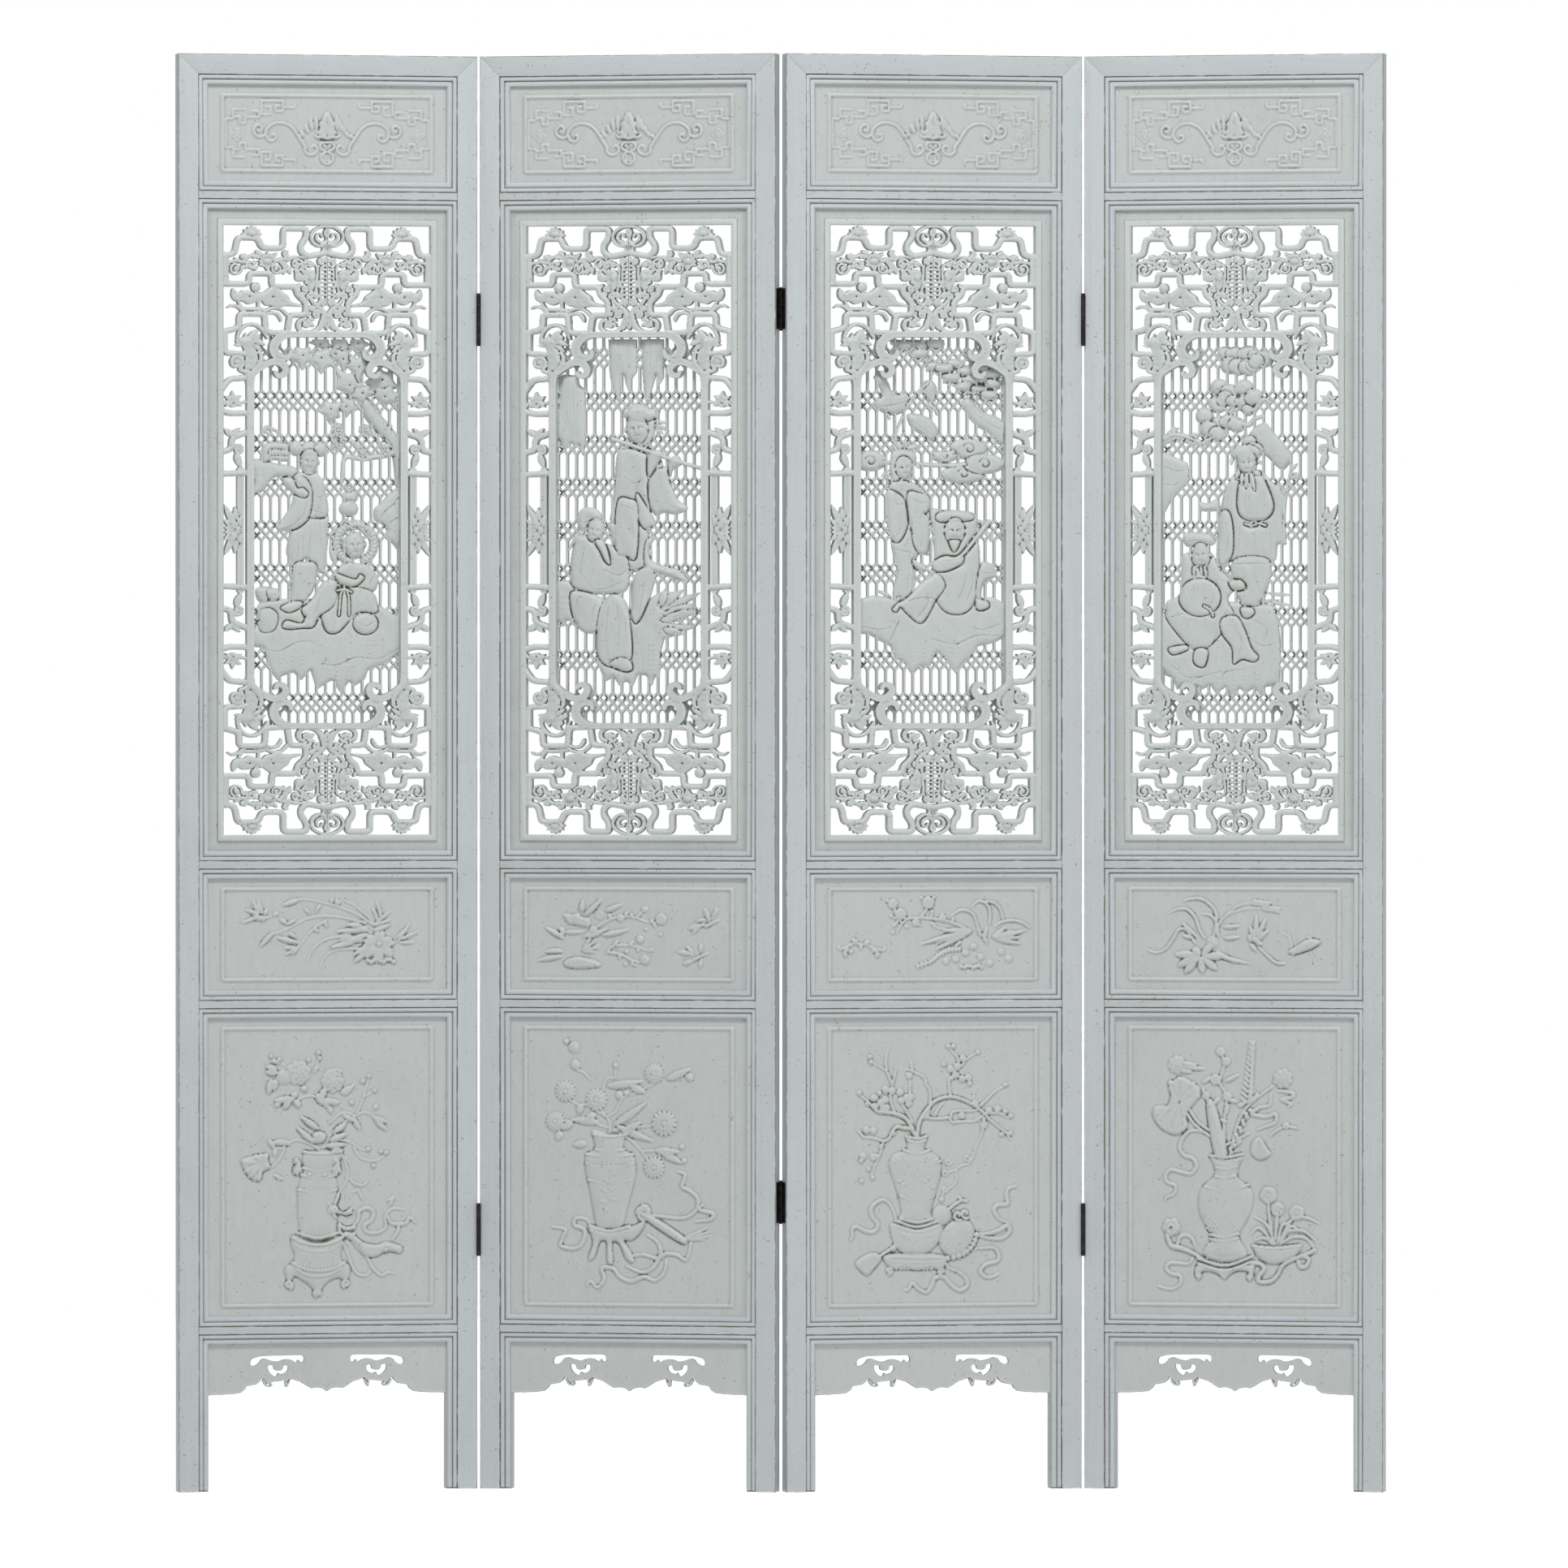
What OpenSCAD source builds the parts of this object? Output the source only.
// Four-leaf folding floor screen of carved and lacquered wood.
// Each leaf is a mitred frame with five bays: a carved top board, a tall pierced fretwork, two carved boards
// and a scalloped apron between the legs. Butt hinges join the leaves, by turns on the front and on the back.
// X runs along the screen, Y from front to back and Z up. A leaf's own x starts at its left edge and its own
// y at its front face. The origin is under the middle of the standing screen.

/* [Leaf] */
// Width of one leaf
leaf_w = 386.5; // [360:0.5:420]
// Height of one leaf
leaf_h = 1829; // [1780:1:1900]
// Thickness of the frame
leaf_t = 25; // [24:0.5:32]
// Turn of each leaf away from the screen's length as it stands, in degrees
leaf_turn = 12.5; // [8:0.5:25]

/* [Frame] */
// Flat face of the stiles and of the top rail
frame_face = 26; // [22:0.5:32]
// Flat face of the cross rails
rail_face = 10; // [8:0.5:16]
// Distance from the leaf's top down to the middle of the rail under the top board
rail_2_drop = 179; // [160:1:200]
// Height of the middle of the rail under the fretwork
rail_3_z = 797.5; // [780:0.5:815]
// Height of the middle of the rail over the lower board
rail_4_z = 620; // [600:1:640]
// Height of the middle of the rail over the apron
rail_5_z = 205; // [190:1:220]
// Length of the tenons that hold the cross rails
tenon_l = 20; // [12:1:22]
// Thickness of the tenons
tenon_t = 8; // [6:0.5:9]
// Glue gap round tongues and tenons
glue_gap = 0.2; // [0.1:0.05:0.5]

/* [Moulding] */
// Width of the bead next to the flat face
outer_bead = 5.5; // [4:0.25:7]
// Width of the bead next to the board
inner_bead = 7.5; // [5:0.25:9]
// How far the outer bead lies behind the frame's face
outer_bead_set = 0.5; // [0.3:0.1:1.5]
// How far the inner bead lies behind the frame's face
inner_bead_set = 2.5; // [1.5:0.1:3.5]
// How far the leg mouldings stop over the floor
leg_bead_lift = 2; // [1:0.5:4]
// Gap at a mitre between two mouldings
mitre_gap = 0.1; // [0.05:0.05:0.3]

/* [Boards] */
// How far the boards' faces lie behind the frame's face
board_set = 8; // [6:0.5:9]
// Thickness of a board
board_t = 8; // [6:0.5:9]
// Thickness of the tongue round a board
tongue_t = 5; // [3:0.5:6]
// Depth of the grooves that hold the tongues
groove_d = 6; // [4:0.5:8]
// Width of the raised bead on a board
field_bead_w = 4; // [2:0.5:6]
// Height of that bead over the board
field_bead_h = 2; // [1:0.5:4]
// Distance of that bead from the mouldings at the sides
field_inset_x = 17; // [10:1:25]
// Distance of that bead from the mouldings above and below
field_inset_z = 11; // [8:1:18]

/* [Fretwork] */
// Flat margin of the fretwork board
fret_margin = 12; // [8:0.5:16]
// Width of the raised ledge round the opening
fret_ledge = 8; // [6:0.5:12]
// How far the ledge lies behind the frame's face
fret_set = 5; // [3:0.5:6]
// How far the bars lie behind the ledge, and before the fretwork's back
bar_drop = 0.5; // [0.25:0.25:1.5]
// How far the frame round the lattice stands before the ledge
cartouche_rise = 0.5; // [0.25:0.25:1.5]
// How far the fretwork's back lies behind the frame's face
fret_back = 20; // [15:0.5:20]
// Width of a fret bar
bar_w = 6.5; // [5:0.25:8]
// Width of the upright at each side of the lattice
upright_w = 9; // [7:0.5:11]
// Thickness of the lattice
lattice_t = 4; // [3:0.5:5]
// Width of a lattice bar
lattice_bar = 3; // [2.5:0.25:4]
// Number of lattice columns
lattice_columns = 16; // [12:1:18]
// Number of lattice rows
lattice_rows = 9; // [7:1:11]
// Height of the crossed band between two rows
lattice_band = 24; // [20:1:28]
// Thickness of the carved scene
scene_t = 9; // [6:0.5:10]
// Width of the lattice at which the scenes' figures have their written size
scene_design_w = 189.5; // [180:0.5:220]

/* [Apron] */
// Depth of the apron at the legs
apron_end = 65; // [55:1:75]
// Depth of the apron at its middle point
apron_mid = 61; // [55:1:70]
// Height of the long pierced slots
apron_slot_h = 7; // [5:0.5:9]

/* [Hinges] */
// Length of the hinges on the front
front_hinge_l = 64; // [50:1:76]
// Length of the hinges on the back
back_hinge_l = 52; // [45:1:64]
// Distance from the leaf's top down to the middle of the upper front hinges
front_hinge_drop = 336; // [270:1:430]
// Height of the middle of the lower front hinges
front_hinge_low = 331; // [280:1:400]
// Distance from the leaf's top down to the middle of the upper back hinges
back_hinge_drop = 324; // [270:1:430]
// Height of the middle of the lower back hinges
back_hinge_low = 368; // [280:1:420]
// Gap between two leaves' edges when the screen is flat
leaf_gap = 2; // [1.6:0.1:4]
// Outer radius of a knuckle
knuckle_r = 2.8; // [2.4:0.1:3.5]
// How far the pin stands out from the leaves' faces
pin_out = 3.2; // [3:0.1:5]
// Radius of the hinge pin
pin_r = 1.4; // [1:0.1:1.6]
// Running clearance round the pin
pin_clear = 0.05; // [0.03:0.01:0.1]
// Gap between knuckles
knuckle_gap = 0.3; // [0.2:0.05:0.5]
// Thickness of a hinge plate
plate_t = 1.2; // [1:0.1:1.6]
// Width of a hinge plate across the leaf's edge
plate_w = 19; // [14:0.5:21]
// Radius of a screw head
screw_head_r = 2.6; // [2:0.1:3.2]
// Radius of a screw shank
screw_r = 1.3; // [1:0.1:1.5]
// Length of a screw
screw_l = 15; // [10:1:18]
// Gap round a screw in its holes
screw_clear = 0.1; // [0.05:0.05:0.2]

/* [Hidden] */
LEAVES = [1, 2, 3, 4];
LINES = [1, 2, 3];
LEAF_PARTS = ["left_stile", "right_stile", "rails", "mouldings", "upper_board", "fretwork", "lattice",
              "scene_carving", "middle_board", "lower_board", "apron"];

lacquer = "#b9c0bd";
board_lacquer = "#c3c6bd";
carving_lacquer = "#c6c9c2";
black_iron = "#26241f";

moulding_w = outer_bead + inner_bead;
member_w = frame_face + moulding_w;
edge_gap = leaf_gap / 2;
knuckles = 5;
pin_cap_r = knuckle_r - knuckle_gap;
pin_cap_h = 1.6;
countersink = screw_head_r - screw_r;
tongue_y = board_set + board_t - tongue_t;
tenon_y = tongue_y;
cut = 1;

// Middle heights of the four cross rails, from the top down
rail_z = [leaf_h - rail_2_drop, rail_3_z, rail_4_z, rail_5_z];
half_rail = rail_face / 2;

// Lowest and highest edge of each bay, between the flat faces of its rails
bay_low = [for (z = rail_z) z + half_rail];
bay_high = concat([leaf_h - frame_face], [for (i = [0:2]) rail_z[i] - half_rail]);
apron_top = rail_5_z - half_rail - moulding_w;

// The fretwork's opening
fret_low = bay_low[1] + moulding_w + fret_margin + fret_ledge;
fret_high = bay_high[1] - moulding_w - fret_margin - fret_ledge;
fret_x = member_w + fret_margin + fret_ledge;
fret_w = leaf_w - 2 * fret_x;
fret_h = fret_high - fret_low;
fret_mid_z = (fret_low + fret_high) / 2;
bar_t = fret_back - fret_set - 2 * bar_drop;
cartouche_t = fret_back - fret_set + cartouche_rise;

// The fret is laid out on a quarter of the opening, from its upper left corner to its middle
half_w = fret_w / 2;
half_h = fret_h / 2;
upright_x = 35;
shoulder_z = 183;
crown_x = 78;
crown_z = 137.5;
lattice_w = fret_w - 2 * upright_x - upright_w;
lattice_h = fret_h - 2 * crown_z - bar_w;
lattice_lap = upright_w - 2;
row_pitch = lattice_h / lattice_rows;
column_pitch = lattice_w / lattice_columns;

// Bars of a quarter of the fret, as corners counted from the opening's upper left corner
FRET_BARS = [
    [[0, 38], [19, 38], [19, 16], [48, 16], [48, 29], [78, 29], [78, 4], [108, 4], [108, 36], [half_w, 36]],
    [[0, 74], [35, 74], [35, 61], [64, 61], [64, 77], [96, 77], [96, 97], [107, 97], [107, 114], [86, 114],
     [86, crown_z]],
    [[0, 134], [21, 134], [21, 112], [56, 112], [56, crown_z], [crown_x, crown_z]],
    [[0, 162], [31, 162], [31, 187]],
    [[0, 197], [31, 197]],
    [[0, 237], [31, 237]],
    [[0, 288], [12, 288], [12, 266], [31, 266]],
    [[0, 315], [22, 315], [22, half_h]],
    [[0, 380], [22, 380]],
    [[120, 36], [120, crown_z]],
    [[96, 88], [half_w, 88]]
];

// Bars of a quarter of the frame round the lattice
CARTOUCHE_BARS = [[[upright_x, shoulder_z], [crown_x, shoulder_z], [crown_x, crown_z], [half_w, crown_z]]];

// The apron's edge from a leg to the middle, as distance from the leg and depth under the moulding
APRON_EDGE = [[42, 62.5], [48, 58], [52, 53], [62, 52], [69, 47], [72, 44], [76, 55], [83, 53], [100, 50],
              [102, 55], [109, 48.5], [127, 53.5], [134, 57.5], [148, 58]];
apron_half = leaf_w / 2 - member_w;
apron_step = apron_half / 154;

// The apron's pierced slots and bat-shaped holes, counted in the same way
slot_from = 58;
slot_to = 118;
slot_depth = 22;
hole_from = 84;
hole_to = 98;
hole_depth = 38;
hole_r = 4.5;

// Standing and seated figures, trees and rocks of the four scenes: place over the lattice's middle, and size
SCENES = [
    [["standing", -32, -101, 205], ["seated", 36, -104, 124], ["tree", 82, 56, 1], ["rock", 0, -150, 1]],
    [["standing", -24, -110, 196], ["seated", 40, -110, 126], ["tree", 82, 60, 1], ["rock", 0, -156, 1]],
    [["standing", -36, -104, 196], ["seated", 34, -108, 130], ["tree", 82, 64, 1], ["rock", 0, -154, 1]],
    [["standing", -28, -104, 200], ["seated", 36, -106, 124], ["tree", 82, 58, 1], ["rock", 0, -152, 1]]
];

function turned(a, p) = [cos(a) * p[0] - sin(a) * p[1], sin(a) * p[0] + cos(a) * p[1]];
// Hinge lines 1 and 3 have their pins on the front, and line 2 on the back
function pin_y(i) = i == 2 ? leaf_t + pin_out : -pin_out;
function leaf_angle(k) = k % 2 == 1 ? leaf_turn : -leaf_turn;
// Where the pin of line i lies on the leaf to its left and on the leaf to its right
function pin_on_left(i) = [leaf_w + edge_gap, pin_y(i)];
function pin_on_right(i) = [-edge_gap, pin_y(i)];
function span(k) = turned(leaf_angle(k), pin_on_left(k) - pin_on_right(k - 1));
// The middle pin lies on the X axis, and the screen's depth is centred over the origin
near_y = turned(leaf_angle(2), [leaf_w, 0] - pin_on_left(2))[1];
far_y = pin_at_raw(1)[1] + turned(leaf_angle(2), [0, leaf_t] - pin_on_right(1))[1];
middle_y = -(near_y + far_y) / 2;
function pin_at_raw(i) = i == 2 ? [0, 0] : i == 1 ? -span(2) : span(3);
function pin_at(i) = pin_at_raw(i) + [0, middle_y];

module on_leaf(k) {
    i = k <= 2 ? k : k - 1;
    own = k <= 2 ? pin_on_left(k) : pin_on_right(k - 1);
    translate([pin_at(i)[0], pin_at(i)[1], 0])
        rotate([0, 0, leaf_angle(k)])
            translate([-own[0], -own[1], 0])
                children();
}

// Puts an edge's own u, outward, and v, inward from the pin's face, in place: side 1 is a leaf's right edge
module at_edge(side, i) {
    translate([side > 0 ? leaf_w : 0, i == 2 ? leaf_t : 0, 0])
        mirror([side > 0 ? 0 : 1, 0, 0])
            mirror([0, i == 2 ? 1 : 0, 0])
                children();
}

function hinge_l(i) = i == 2 ? back_hinge_l : front_hinge_l;
function hinge_heights(i) = i == 2 ? [back_hinge_low, leaf_h - back_hinge_drop]
                                   : [front_hinge_low, leaf_h - front_hinge_drop];
function screw_heights(i) = [for (s = [-1, 0, 1]) s * (hinge_l(i) / 2 - 2.5 * screw_head_r)];

module screw_hole() {
    rotate([0, -90, 0])
        cylinder(r = screw_r + screw_clear, h = screw_l + screw_clear, $fn = 24);
}

module hinge_recess(i) {
    for (z = hinge_heights(i)) {
        translate([-plate_t, -cut, z - hinge_l(i) / 2 - glue_gap])
            cube([plate_t + cut, plate_w + cut + glue_gap, hinge_l(i) + 2 * glue_gap]);
        for (s = screw_heights(i))
            translate([0, plate_w / 2, z + s])
                screw_hole();
    }
}

// Knuckles 0, 2 and 4 belong to the leaf on the left of the line, and 1 and 3 to the leaf on its right
module hinge_plate(side, i) {
    knuckle_l = hinge_l(i) / knuckles;
    first = side > 0 ? 0 : 1;
    difference() {
        union() {
            translate([-plate_t, 0, -hinge_l(i) / 2])
                cube([plate_t, plate_w, hinge_l(i)]);
            for (n = [first:2:knuckles - 1])
                translate([0, 0, -hinge_l(i) / 2 + n * knuckle_l + knuckle_gap / 2]) {
                    translate([-plate_t, -pin_out, 0])
                        cube([plate_t, pin_out + cut, knuckle_l - knuckle_gap]);
                    translate([edge_gap, -pin_out, 0])
                        cylinder(r = knuckle_r, h = knuckle_l - knuckle_gap, $fn = 48);
                }
        }
        translate([edge_gap, -pin_out, -hinge_l(i) / 2 - cut])
            cylinder(r = pin_r + pin_clear, h = hinge_l(i) + 2 * cut, $fn = 48);
        for (s = screw_heights(i))
            translate([0, plate_w / 2, s])
                rotate([0, -90, 0]) {
                    cylinder(r = screw_r + screw_clear, h = plate_t + cut, $fn = 24);
                    translate([0, 0, -screw_clear])
                        cylinder(r1 = screw_head_r + 2 * screw_clear, r2 = screw_r + screw_clear,
                                 h = countersink + screw_clear, $fn = 48);
                }
    }
}

module hinge_plates(side, i) {
    color(black_iron)
        at_edge(side, i)
            for (z = hinge_heights(i))
                translate([0, 0, z])
                    hinge_plate(side, i);
}

module hinge_screws(side, i) {
    color(black_iron)
        at_edge(side, i)
            for (z = hinge_heights(i))
                for (s = screw_heights(i))
                    translate([0, plate_w / 2, z + s])
                        rotate([0, -90, 0]) {
                            cylinder(r = screw_r, h = screw_l, $fn = 24);
                            cylinder(r1 = screw_head_r, r2 = screw_r, h = countersink, $fn = 48);
                        }
}

module hinge_pins(i) {
    color(black_iron)
        at_edge(1, i)
            for (z = hinge_heights(i))
                translate([edge_gap, -pin_out, z]) {
                    translate([0, 0, -hinge_l(i) / 2 - pin_clear])
                        cylinder(r = pin_r, h = hinge_l(i) + 2 * pin_clear, $fn = 48);
                    for (s = [-1, 1])
                        translate([0, 0, s * (hinge_l(i) / 2 + pin_clear + pin_cap_h / 2)])
                            cylinder(r = pin_cap_r, h = pin_cap_h, center = true, $fn = 48);
                }
}

// A stile seen as the left one. The right one is its mirror image
module stile_blank() {
    difference() {
        rotate([90, 0, 0])
            translate([0, 0, -leaf_t])
                linear_extrude(height = leaf_t)
                    polygon([[0, 0], [member_w, 0], [member_w, leaf_h - member_w], [0, leaf_h]]);
        // rebate for the mouldings
        translate([frame_face, -cut, -cut])
            cube([moulding_w + cut, board_set + cut, leaf_h]);
        // groove for the boards' tongues
        translate([member_w - groove_d, tongue_y, apron_top - apron_end])
            cube([groove_d + cut, tongue_t, leaf_h]);
        for (z = rail_z)
            translate([member_w - tenon_l - glue_gap, tenon_y - glue_gap, z - half_rail - glue_gap])
                cube([tenon_l + glue_gap + cut, tenon_t + 2 * glue_gap, rail_face + 2 * glue_gap]);
    }
}

module left_stile(k) {
    color(lacquer)
        difference() {
            stile_blank();
            if (k > 1)
                at_edge(-1, k - 1)
                    hinge_recess(k - 1);
        }
}

module right_stile(k) {
    color(lacquer)
        difference() {
            translate([leaf_w, 0, 0])
                mirror([1, 0, 0])
                    stile_blank();
            if (k < 4)
                at_edge(1, k)
                    hinge_recess(k);
        }
}

module top_rail() {
    difference() {
        rotate([90, 0, 0])
            translate([0, 0, -leaf_t])
                linear_extrude(height = leaf_t)
                    polygon([[0, leaf_h], [member_w, leaf_h - member_w], [leaf_w - member_w, leaf_h - member_w],
                             [leaf_w, leaf_h]]);
        translate([-cut, -cut, leaf_h - member_w - cut])
            cube([leaf_w + 2 * cut, board_set + cut, moulding_w + cut]);
        translate([0, tongue_y, leaf_h - member_w - cut])
            cube([leaf_w, tongue_t, groove_d + cut]);
    }
}

module cross_rail(z) {
    difference() {
        union() {
            translate([member_w, 0, z - half_rail - moulding_w])
                cube([leaf_w - 2 * member_w, leaf_t, rail_face + 2 * moulding_w]);
            translate([member_w - tenon_l, tenon_y, z - half_rail])
                cube([leaf_w - 2 * (member_w - tenon_l), tenon_t, rail_face]);
            // the rail's face meets the stiles between the mitred mouldings
            translate([frame_face, 0, z - half_rail])
                cube([leaf_w - 2 * frame_face, board_set, rail_face]);
        }
        for (s = [-1, 1]) {
            translate([member_w - cut, -cut, z + s * (half_rail + moulding_w / 2 + cut / 2) - (moulding_w + cut) / 2])
                cube([leaf_w - 2 * member_w + 2 * cut, board_set + cut, moulding_w + cut]);
            translate([member_w - cut, tongue_y, z + s * (half_rail + moulding_w) - groove_d])
                cube([leaf_w - 2 * member_w + 2 * cut, tongue_t, 2 * groove_d]);
        }
    }
}

module rails(k) {
    color(lacquer) {
        top_rail();
        for (z = rail_z)
            cross_rail(z);
    }
}

// Section of the moulding: x from the flat face towards the board, y from front to back
module moulding_section() {
    difference() {
        union() {
            bead_section(0, outer_bead, outer_bead_set);
            bead_section(outer_bead, inner_bead, inner_bead_set);
        }
        translate([-cut, board_set])
            square([moulding_w + 2 * cut, moulding_w]);
    }
}

module bead_section(x, w, set) {
    translate([x + w / 2, set + w / 2])
        circle(r = w / 2, $fn = 48);
    translate([x, set + w / 2])
        square([w, board_set - set - w / 2]);
}

// A strip along x with the board's side towards y and its back up, mitred at each end that is 1
module moulding_strip(l, left_mitre, right_mitre) {
    left = left_mitre * mitre_gap;
    right = l - right_mitre * mitre_gap;
    intersection() {
        rotate([90, 0, 90])
            linear_extrude(height = l)
                moulding_section();
        linear_extrude(height = 2 * moulding_w, center = true)
            polygon([[left, -cut], [right, -cut], [right, 0], [right - right_mitre * moulding_w, moulding_w],
                     [left + left_mitre * moulding_w, moulding_w], [left, 0]]);
    }
}

// The four strips round a bay
module bay_moulding(low, high) {
    w = leaf_w - 2 * frame_face;
    h = high - low;
    lay_strip(frame_face, low, 0)
        moulding_strip(w, 1, 1);
    lay_strip(leaf_w - frame_face, low, 90)
        moulding_strip(h, 1, 1);
    lay_strip(leaf_w - frame_face, high, 180)
        moulding_strip(w, 1, 1);
    lay_strip(frame_face, high, 270)
        moulding_strip(h, 1, 1);
}

// Stands a strip that is drawn lying down in the leaf's front, turned about the leaf's y
module lay_strip(x, z, a) {
    translate([x, 0, z])
        rotate([0, -a, 0])
            rotate([90, 0, 0])
                mirror([0, 0, 1])
                    children();
}

module mouldings(k) {
    color(lacquer) {
        for (b = [0:3])
            bay_moulding(bay_low[b], bay_high[b]);
        high = rail_5_z - half_rail;
        lay_strip(leaf_w - frame_face, high, 180)
            moulding_strip(leaf_w - 2 * frame_face, 1, 1);
        lay_strip(leaf_w - frame_face, leg_bead_lift, 90)
            moulding_strip(high - leg_bead_lift, 0, 1);
        lay_strip(frame_face, high, 270)
            moulding_strip(high - leg_bead_lift, 1, 0);
    }
}

// A board that fills bay b between its mouldings, with a tongue all round
module board_blank(b, back) {
    low = bay_low[b] + moulding_w;
    h = bay_high[b] - moulding_w - low;
    translate([member_w + glue_gap, board_set, low + glue_gap])
        cube([leaf_w - 2 * (member_w + glue_gap), back - board_set, h - 2 * glue_gap]);
    translate([member_w - groove_d + glue_gap, tongue_y, low - groove_d + glue_gap])
        cube([leaf_w - 2 * (member_w - groove_d + glue_gap), tongue_t, h + 2 * (groove_d - glue_gap)]);
}

// A rectangular frame in the leaf's front, with its lower left corner at x and z
module ring(x, z, w, h, bar, y, t) {
    translate([x, y, z])
        difference() {
            cube([w, t, h]);
            translate([bar, -cut, bar])
                cube([w - 2 * bar, t + 2 * cut, h - 2 * bar]);
        }
}

module relief_board(b) {
    color(board_lacquer) {
        board_blank(b, board_set + board_t);
        low = bay_low[b] + moulding_w + field_inset_z;
        high = bay_high[b] - moulding_w - field_inset_z;
        x = member_w + field_inset_x;
        ring(x, low, leaf_w - 2 * x, high - low, field_bead_w, board_set - field_bead_h, field_bead_h + cut);
    }
}

// One straight bar of the fret between two corners, from the front
module fret_bar(a, b, w) {
    translate([min(a[0], b[0]) - w / 2, -max(a[1], b[1]) - w / 2])
        square([abs(a[0] - b[0]) + w, abs(a[1] - b[1]) + w]);
}

module fret_lines(bars) {
    for (bar = bars)
        for (n = [1:len(bar) - 1])
            fret_bar(bar[n - 1], bar[n], bar_w);
}

// Mirrors a quarter of the fret about the opening's middle, with its back at y and thickness t
module fret_layer(y, t) {
    translate([leaf_w / 2, y, fret_mid_z])
        rotate([90, 0, 0])
            linear_extrude(height = t)
                intersection() {
                    union() {
                        for (sx = [0, 1])
                            for (sz = [0, 1])
                                mirror([sx, 0])
                                    mirror([0, sz])
                                        translate([-fret_w / 2, fret_h / 2])
                                            children();
                    }
                    square([fret_w + 2 * cut, fret_h + 2 * cut], center = true);
                }
}

module fretwork(k) {
    color(carving_lacquer) {
        difference() {
            union() {
                board_blank(1, fret_back);
                ring(fret_x - fret_ledge, fret_low - fret_ledge, fret_w + 2 * fret_ledge, fret_h + 2 * fret_ledge,
                     fret_ledge, fret_set, board_set - fret_set + cut);
            }
            translate([fret_x, -cut, fret_low])
                cube([fret_w, leaf_t, fret_h]);
        }
        fret_layer(fret_back - bar_drop, bar_t)
            fret_lines(FRET_BARS);
        fret_layer(fret_back, cartouche_t) {
            fret_lines(CARTOUCHE_BARS);
            fret_bar([upright_x, shoulder_z], [upright_x, half_h], upright_w);
        }
    }
}

// A slot with pointed ends, drawn about its middle
module pointed_slot(w, h) {
    polygon([[0, -h / 2], [w / 2, -h / 2 + w / 2], [w / 2, h / 2 - w / 2], [0, h / 2], [-w / 2, h / 2 - w / 2],
             [-w / 2, -h / 2 + w / 2]]);
}

module lattice_cut(x, z, w, h) {
    translate([x, z, -cut])
        linear_extrude(height = lattice_t + 2 * cut)
            pointed_slot(w, h);
}

module lattice(k) {
    slot_w = column_pitch - lattice_bar;
    slot_h = row_pitch - lattice_band + 2 * lattice_bar;
    hole = min(slot_w, lattice_band / 2 - lattice_bar);
    color(carving_lacquer)
        translate([leaf_w / 2, fret_back + lattice_t, fret_mid_z])
            rotate([90, 0, 0])
                difference() {
                    translate([-lattice_w / 2 - lattice_lap, -lattice_h / 2 - bar_w, 0])
                        cube([lattice_w + 2 * lattice_lap, lattice_h + 2 * bar_w, lattice_t]);
                    for (c = [0:lattice_columns - 1]) {
                        x = (c + 0.5) * column_pitch - lattice_w / 2;
                        for (r = [1:lattice_rows - 1])
                            lattice_cut(x, (r - lattice_rows / 2) * row_pitch, slot_w, slot_h);
                        for (s = [-1, 1])
                            lattice_cut(x, s * (lattice_h / 2 - slot_h / 4), slot_w, slot_h / 2);
                    }
                    for (c = [1:lattice_columns - 1])
                        for (r = [0:lattice_rows - 1])
                            lattice_cut(c * column_pitch - lattice_w / 2, (r + 0.5 - lattice_rows / 2) * row_pitch,
                                        hole, hole);
                }
}

// A robed figure of height h that stands on its own origin
module standing_shape(h) {
    head = h * 0.085;
    polygon([[-h * 0.16, 0], [h * 0.16, 0], [h * 0.13, h * 0.2], [h * 0.2, h * 0.5], [h * 0.14, h * 0.8],
             [-h * 0.14, h * 0.8], [-h * 0.22, h * 0.5], [-h * 0.14, h * 0.2]]);
    translate([0, h - 1.2 * head])
        circle(r = head * 1.2, $fn = 32);
}

module seated_shape(h) {
    head = h * 0.14;
    polygon([[-h * 0.42, 0], [h * 0.36, 0], [h * 0.38, h * 0.25], [h * 0.26, h * 0.7], [-h * 0.26, h * 0.7],
             [-h * 0.3, h * 0.3]]);
    translate([0, h - 1.2 * head])
        circle(r = head * 1.2, $fn = 32);
}

// Foliage at the upper end of a trunk, with side 1 where the trunk is on the right
module tree_shape(side) {
    polygon([[side * -6, -190], [side * 4, -190], [side * 4, 60], [side * -40, 140], [side * -52, 136],
             [side * -10, 50]]);
    for (p = [[-30, 90, 26], [-60, 60, 22], [-70, 104, 26], [-45, 128, 20]])
        translate([side * p[0], p[1]])
            circle(r = p[2], $fn = 32);
}

module rock_shape() {
    polygon([[-84, 66], [-78, 0], [-40, -16], [-10, -24], [30, -34], [60, -10], [88, 10], [88, 66]]);
}

module scene_shape(item) {
    translate([item[1], item[2]]) {
        if (item[0] == "standing")
            standing_shape(item[3]);
        if (item[0] == "seated")
            seated_shape(item[3]);
        if (item[0] == "tree")
            tree_shape(item[3]);
        if (item[0] == "rock")
            rock_shape();
    }
}

module scene_carving(k) {
    color(carving_lacquer)
        translate([leaf_w / 2, fret_back, fret_mid_z])
            rotate([90, 0, 0])
                linear_extrude(height = scene_t)
                    intersection() {
                        scale(lattice_w / scene_design_w) {
                            for (item = SCENES[k - 1])
                                scene_shape(item);
                        }
                        square([lattice_w - cut, 2 * (half_h - shoulder_z) - bar_w - cut], center = true);
                    }
}

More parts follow.
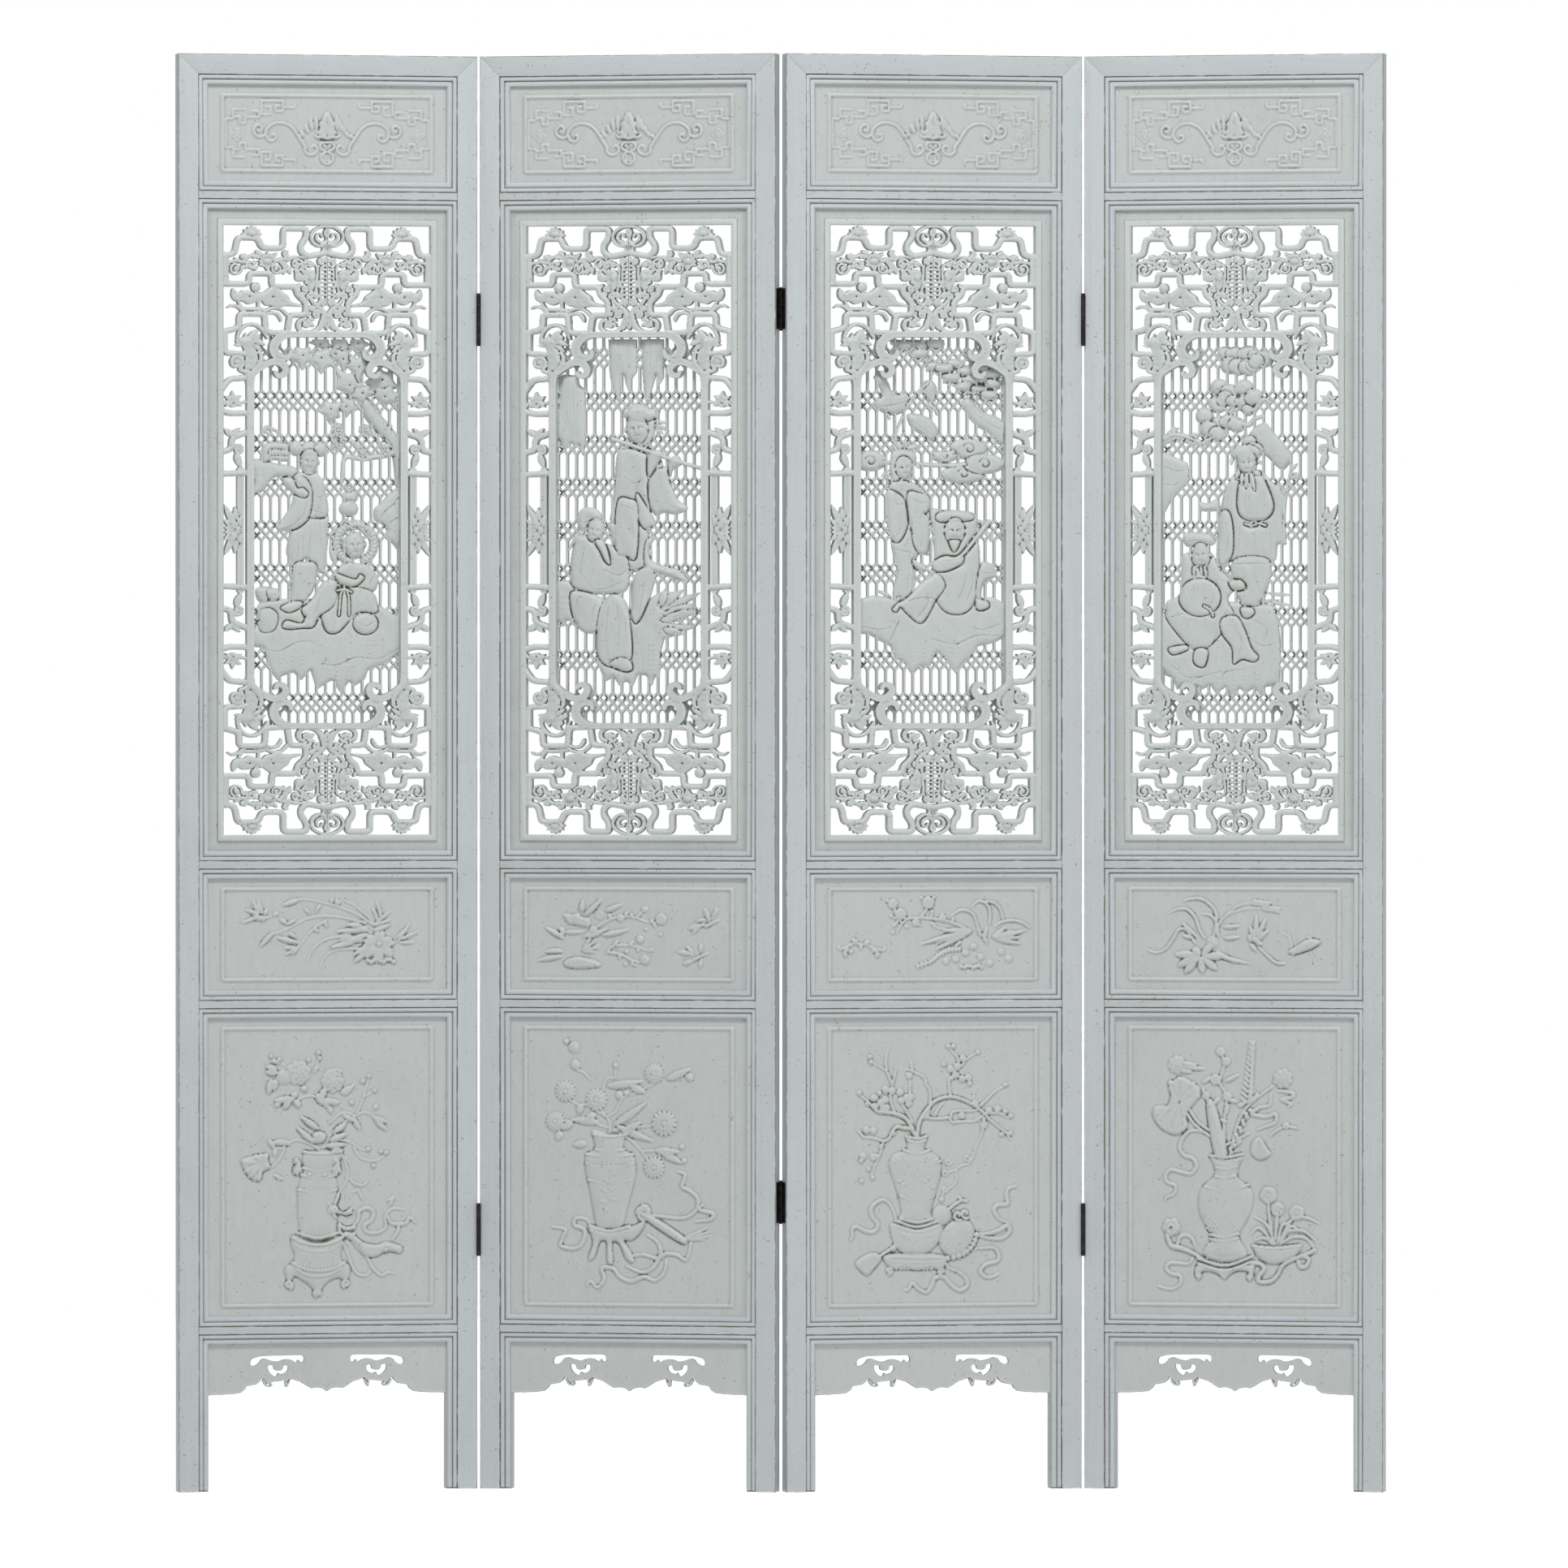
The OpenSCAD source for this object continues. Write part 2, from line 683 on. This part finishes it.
// Half of the apron, from the leg to the middle, with a tongue of the given length at the leg and on top
module apron_half_shape(tongue) {
    difference() {
        polygon(concat([[-tongue, tongue], [-tongue, glue_gap - apron_end]],
                       [for (p = APRON_EDGE) [p[0] * apron_step, -p[1]]],
                       [[apron_half, -apron_mid], [apron_half, tongue]]));
        apron_slot();
        apron_hole();
    }
}

module apron_slot() {
    translate([slot_from * apron_step, -slot_depth - apron_slot_h / 2])
        square([(slot_to - slot_from) * apron_step, apron_slot_h]);
    for (x = [slot_from, slot_to])
        translate([x * apron_step, -slot_depth])
            circle(r = apron_slot_h * 0.7, $fn = 32);
}

module apron_hole() {
    for (x = [hole_from, hole_to])
        translate([x * apron_step, -hole_depth])
            circle(r = hole_r, $fn = 32);
    translate([hole_from * apron_step, -hole_depth - hole_r])
        square([(hole_to - hole_from) * apron_step, hole_r]);
}

// A layer of the apron from depth y on
module apron_layer(y, t, tongue) {
    translate([0, y + t, apron_top])
        rotate([90, 0, 0])
            linear_extrude(height = t)
                for (s = [0, 1])
                    translate([s * leaf_w, 0])
                        mirror([s, 0])
                            translate([member_w, 0])
                                apron_half_shape(tongue);
}

module apron(k) {
    color(board_lacquer) {
        apron_layer(board_set, board_t, -glue_gap);
        apron_layer(tongue_y, tongue_t, groove_d - glue_gap);
    }
}

module leaf_node(k, part) {
    on_leaf(k) {
        if (part == "left_stile") left_stile(k);
        if (part == "right_stile") right_stile(k);
        if (part == "rails") rails(k);
        if (part == "mouldings") mouldings(k);
        if (part == "upper_board") relief_board(0);
        if (part == "fretwork") fretwork(k);
        if (part == "lattice") lattice(k);
        if (part == "scene_carving") scene_carving(k);
        if (part == "middle_board") relief_board(2);
        if (part == "lower_board") relief_board(3);
        if (part == "apron") apron(k);
    }
}

for (k = LEAVES)
    for (p = LEAF_PARTS)
        leaf_node(k, p);

for (i = LINES) {
    name = str("hinge_", i, "_", i + 1, "_");
    on_leaf(i) hinge_plates(1, i);
    on_leaf(i + 1) hinge_plates(-1, i);
    on_leaf(i) hinge_pins(i);
    on_leaf(i) hinge_screws(1, i);
    on_leaf(i + 1) hinge_screws(-1, i);
}
